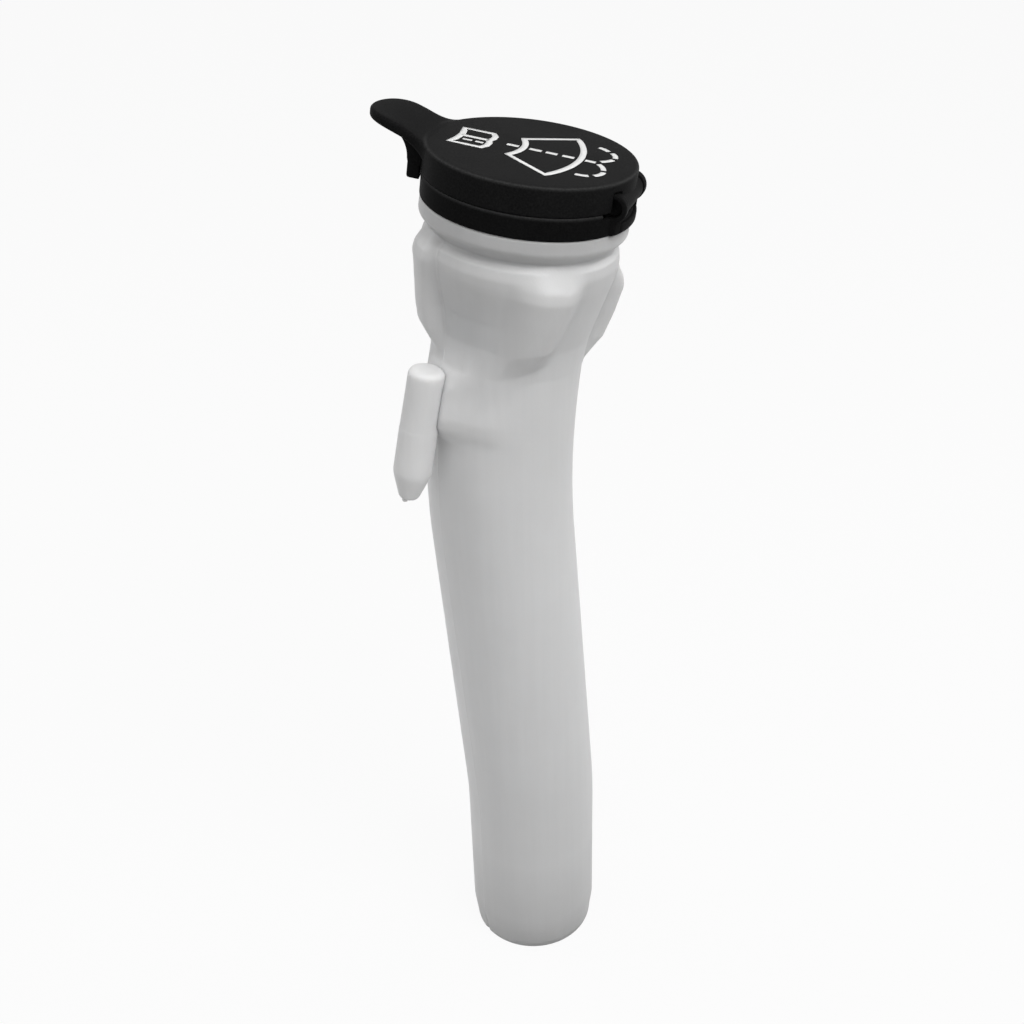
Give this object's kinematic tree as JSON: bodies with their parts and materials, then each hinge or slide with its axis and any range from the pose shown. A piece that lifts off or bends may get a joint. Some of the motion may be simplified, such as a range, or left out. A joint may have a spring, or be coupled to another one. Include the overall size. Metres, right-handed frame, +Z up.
{
  "type": "washer fluid filler neck",
  "caption": "Bent blow-moulded filler neck with a flared lugged head, a hanging peg at its side, a plain spigot end and a black hinged lid with a thumb tab.",
  "frame": {"origin": "on the spigot's axis at the middle of its straight wall", "axes": "+Z up along the spigot towards the mouth; +X the way the head leans, in the plane of the bends; +Y away from the lid's hinge side"},
  "size_m": [0.0815, 0.0731, 0.3222],
  "materials": {
    "blown_neck": "satin, slightly translucent blown polyethylene",
    "collar_plastic": "fine matte moulded grain",
    "lid_plastic": "fine matte moulded grain"
  },
  "bodies": {
    "neck": {"filler_neck": "blown_neck", "cap_collar": "collar_plastic"},
    "lid": {"lid": "lid_plastic"}
  },
  "joints": [
    {"name": "lid_hinge", "type": "hinge", "parent": "neck", "child": "lid", "pos_m": [0.0207, -0.02172, 0.26707], "axis": [0.7865, 0.6018, -0.1387], "range_deg": [0, 110]}
  ]
}
